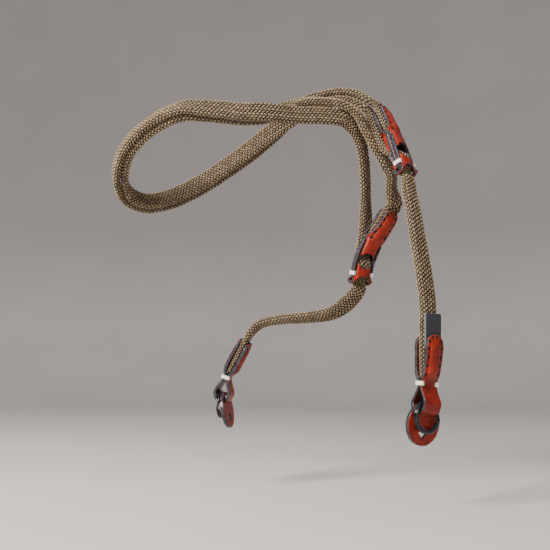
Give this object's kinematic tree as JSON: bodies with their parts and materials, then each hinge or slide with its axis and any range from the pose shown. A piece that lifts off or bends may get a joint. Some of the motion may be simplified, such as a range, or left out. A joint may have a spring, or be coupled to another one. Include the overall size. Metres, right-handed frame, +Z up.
{
  "type": "coiled camera strap",
  "caption": "Adjustable neck strap of two flat braided ropes with folded leather keepers, end tabs, round pads and split rings.",
  "frame": {"origin": "the place under the top bend where the strap hangs open", "axes": "+Z up, +X to the right and -Y towards the viewer who faces the strap's front"},
  "size_m": [0.2024, 0.1084, 0.2231],
  "materials": {
    "rope": "coarse tubular braid in tan and dark brown yarn",
    "leather": "smooth red-brown leather with painted grey edges",
    "thread": "white waxed thread",
    "ring_metal": "glossy black steel",
    "label": "matt black suede"
  },
  "bodies": {
    "root": {"rope_a": "rope", "rope_b": "rope", "keeper_upper": "leather", "keeper_lower": "leather", "thread_keeper_upper_a": "thread", "thread_keeper_upper_b": "thread", "thread_keeper_lower_a": "thread", "thread_keeper_lower_b": "thread", "tab_right": "leather", "tab_left": "leather", "thread_tab_right_a": "thread", "thread_tab_right_b": "thread", "thread_tab_left_a": "thread", "thread_tab_left_b": "thread", "pad_right": "leather", "pad_left": "leather", "ring_right": "ring_metal", "ring_left": "ring_metal", "label_right": "label"}
  },
  "joints": []
}
